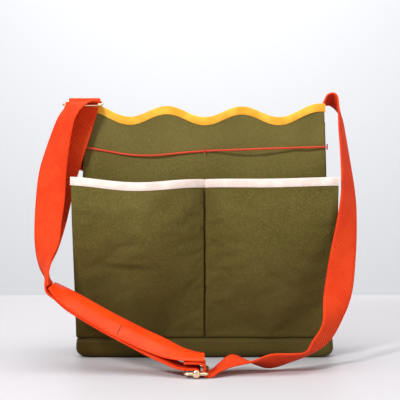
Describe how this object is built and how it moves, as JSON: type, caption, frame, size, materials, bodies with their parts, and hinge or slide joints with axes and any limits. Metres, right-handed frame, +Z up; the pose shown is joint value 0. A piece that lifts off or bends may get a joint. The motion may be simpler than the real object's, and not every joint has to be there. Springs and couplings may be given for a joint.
{
  "type": "garden tool bag",
  "caption": "Canvas garden tool tote with a scalloped bound top, two bellows front pockets, an elastic tool cord and an adjustable webbing shoulder strap with a metal ring and slider",
  "frame": {"origin": "centre of the flat underside the bag stands on", "axes": "+Z up, +X to the viewer's right across the bag, -Y out of the side with the pockets"},
  "size_m": [0.3832, 0.2297, 0.3203],
  "materials": {
    "olive_canvas": "matte",
    "cream_binding": "matte",
    "yellow_binding": "matte",
    "coral_webbing": "woven",
    "gold_metal": "polished",
    "base_board": "matte"
  },
  "bodies": {
    "bag": {"base_bottom": "olive_canvas", "base_board": "base_board", "base_band": "olive_canvas", "front_panel": "olive_canvas", "rear_panel": "olive_canvas", "gusset_left": "olive_canvas", "gusset_right": "olive_canvas", "front_binding": "yellow_binding", "rear_binding": "yellow_binding", "pocket_panel_left": "olive_canvas", "pocket_panel_right": "olive_canvas", "pocket_side_left": "olive_canvas", "pocket_side_right": "olive_canvas", "pocket_binding_left": "cream_binding", "pocket_binding_right": "cream_binding", "pocket_seam_tape": "olive_canvas", "elastic_cord": "coral_webbing", "elastic_tack_centre": "coral_webbing", "elastic_tab_left": "coral_webbing", "elastic_tab_right": "coral_webbing", "strap_anchor_right": "coral_webbing", "strap_tab_left": "coral_webbing"},
    "strap": {"strap_ring": "gold_metal", "strap_run_right": "coral_webbing", "strap_run_inner": "coral_webbing", "strap_run_outer": "coral_webbing", "strap_smooth_section": "coral_webbing"},
    "slider": {"slider_frame": "gold_metal", "slider_bar": "gold_metal"}
  },
  "joints": [
    {"name": "strap_swing", "type": "hinge", "parent": "bag", "child": "strap", "pos_m": [0, -0.025, 0.31], "axis": [-1, 0, 0], "range_deg": [0, 150]},
    {"name": "slider_tilt", "type": "hinge", "parent": "strap", "child": "slider", "pos_m": [-0.0095, -0.156, 0.0052], "axis": [0, -1, 0], "range_deg": [0, 12]}
  ]
}
